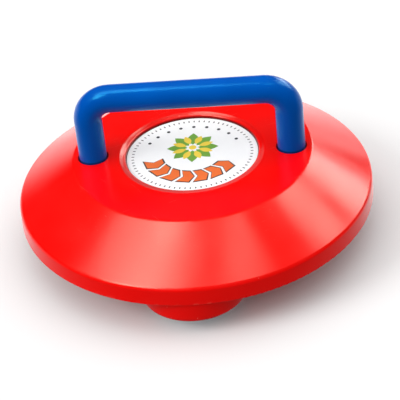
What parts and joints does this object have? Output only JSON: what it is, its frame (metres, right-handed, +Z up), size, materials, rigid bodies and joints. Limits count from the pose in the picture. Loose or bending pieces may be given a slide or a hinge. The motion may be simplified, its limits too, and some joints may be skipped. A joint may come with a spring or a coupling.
{
  "type": "indoor curling stone",
  "caption": "Moulded indoor curling stone: a coned disc with a bar handle and a round label recess, which glides on steel ball transfer units pressed into bosses on its underside.",
  "frame": {"origin": "on the floor under the middle of the stone, level with the lowest point of the load balls", "axes": "+Z up, +X along the handle's grip, -Y towards the single ball unit that stands midway between the handle's legs"},
  "size_m": [0.261, 0.261, 0.1265],
  "materials": {
    "body_plastic": "solid red cast plastic, satin, with fine casting marks",
    "handle_plastic": "solid blue moulded plastic, satin",
    "label_vinyl": null,
    "zinc_steel": "pressed steel, zinc plated",
    "hardened_steel": "hardened steel, ground",
    "ball_steel": "polished bearing steel",
    "screw_steel": "blackened steel",
    "insert_brass": "turned brass",
    "seal_felt": "dark wool felt"
  },
  "bodies": {
    "stone": {"body": "body_plastic", "handle": "handle_plastic", "label": "label_vinyl", "handle_inserts": "insert_brass", "handle_washers": "zinc_steel", "handle_screws": "screw_steel", "flange_front": "zinc_steel", "housing_front": "zinc_steel", "race_front": "hardened_steel", "seal_front": "seal_felt", "bearing_balls_front": "ball_steel", "flange_right": "zinc_steel", "housing_right": "zinc_steel", "race_right": "hardened_steel", "seal_right": "seal_felt", "bearing_balls_right": "ball_steel", "flange_left": "zinc_steel", "housing_left": "zinc_steel", "race_left": "hardened_steel", "seal_left": "seal_felt", "bearing_balls_left": "ball_steel"},
    "ball_front": {"load_ball_front": "ball_steel"},
    "ball_right": {"load_ball_right": "ball_steel"},
    "ball_left": {"load_ball_left": "ball_steel"}
  },
  "joints": [
    {"name": "ball_front_roll", "type": "hinge", "parent": "stone", "child": "ball_front", "pos_m": [0, -0.0912, 0.01508], "axis": [0, -1, 0], "continuous": true},
    {"name": "ball_right_roll", "type": "hinge", "parent": "stone", "child": "ball_right", "pos_m": [0.07898, 0.0456, 0.01508], "axis": [0.866, 0.5, 0], "continuous": true},
    {"name": "ball_left_roll", "type": "hinge", "parent": "stone", "child": "ball_left", "pos_m": [-0.07898, 0.0456, 0.01508], "axis": [-0.866, 0.5, 0], "continuous": true}
  ]
}
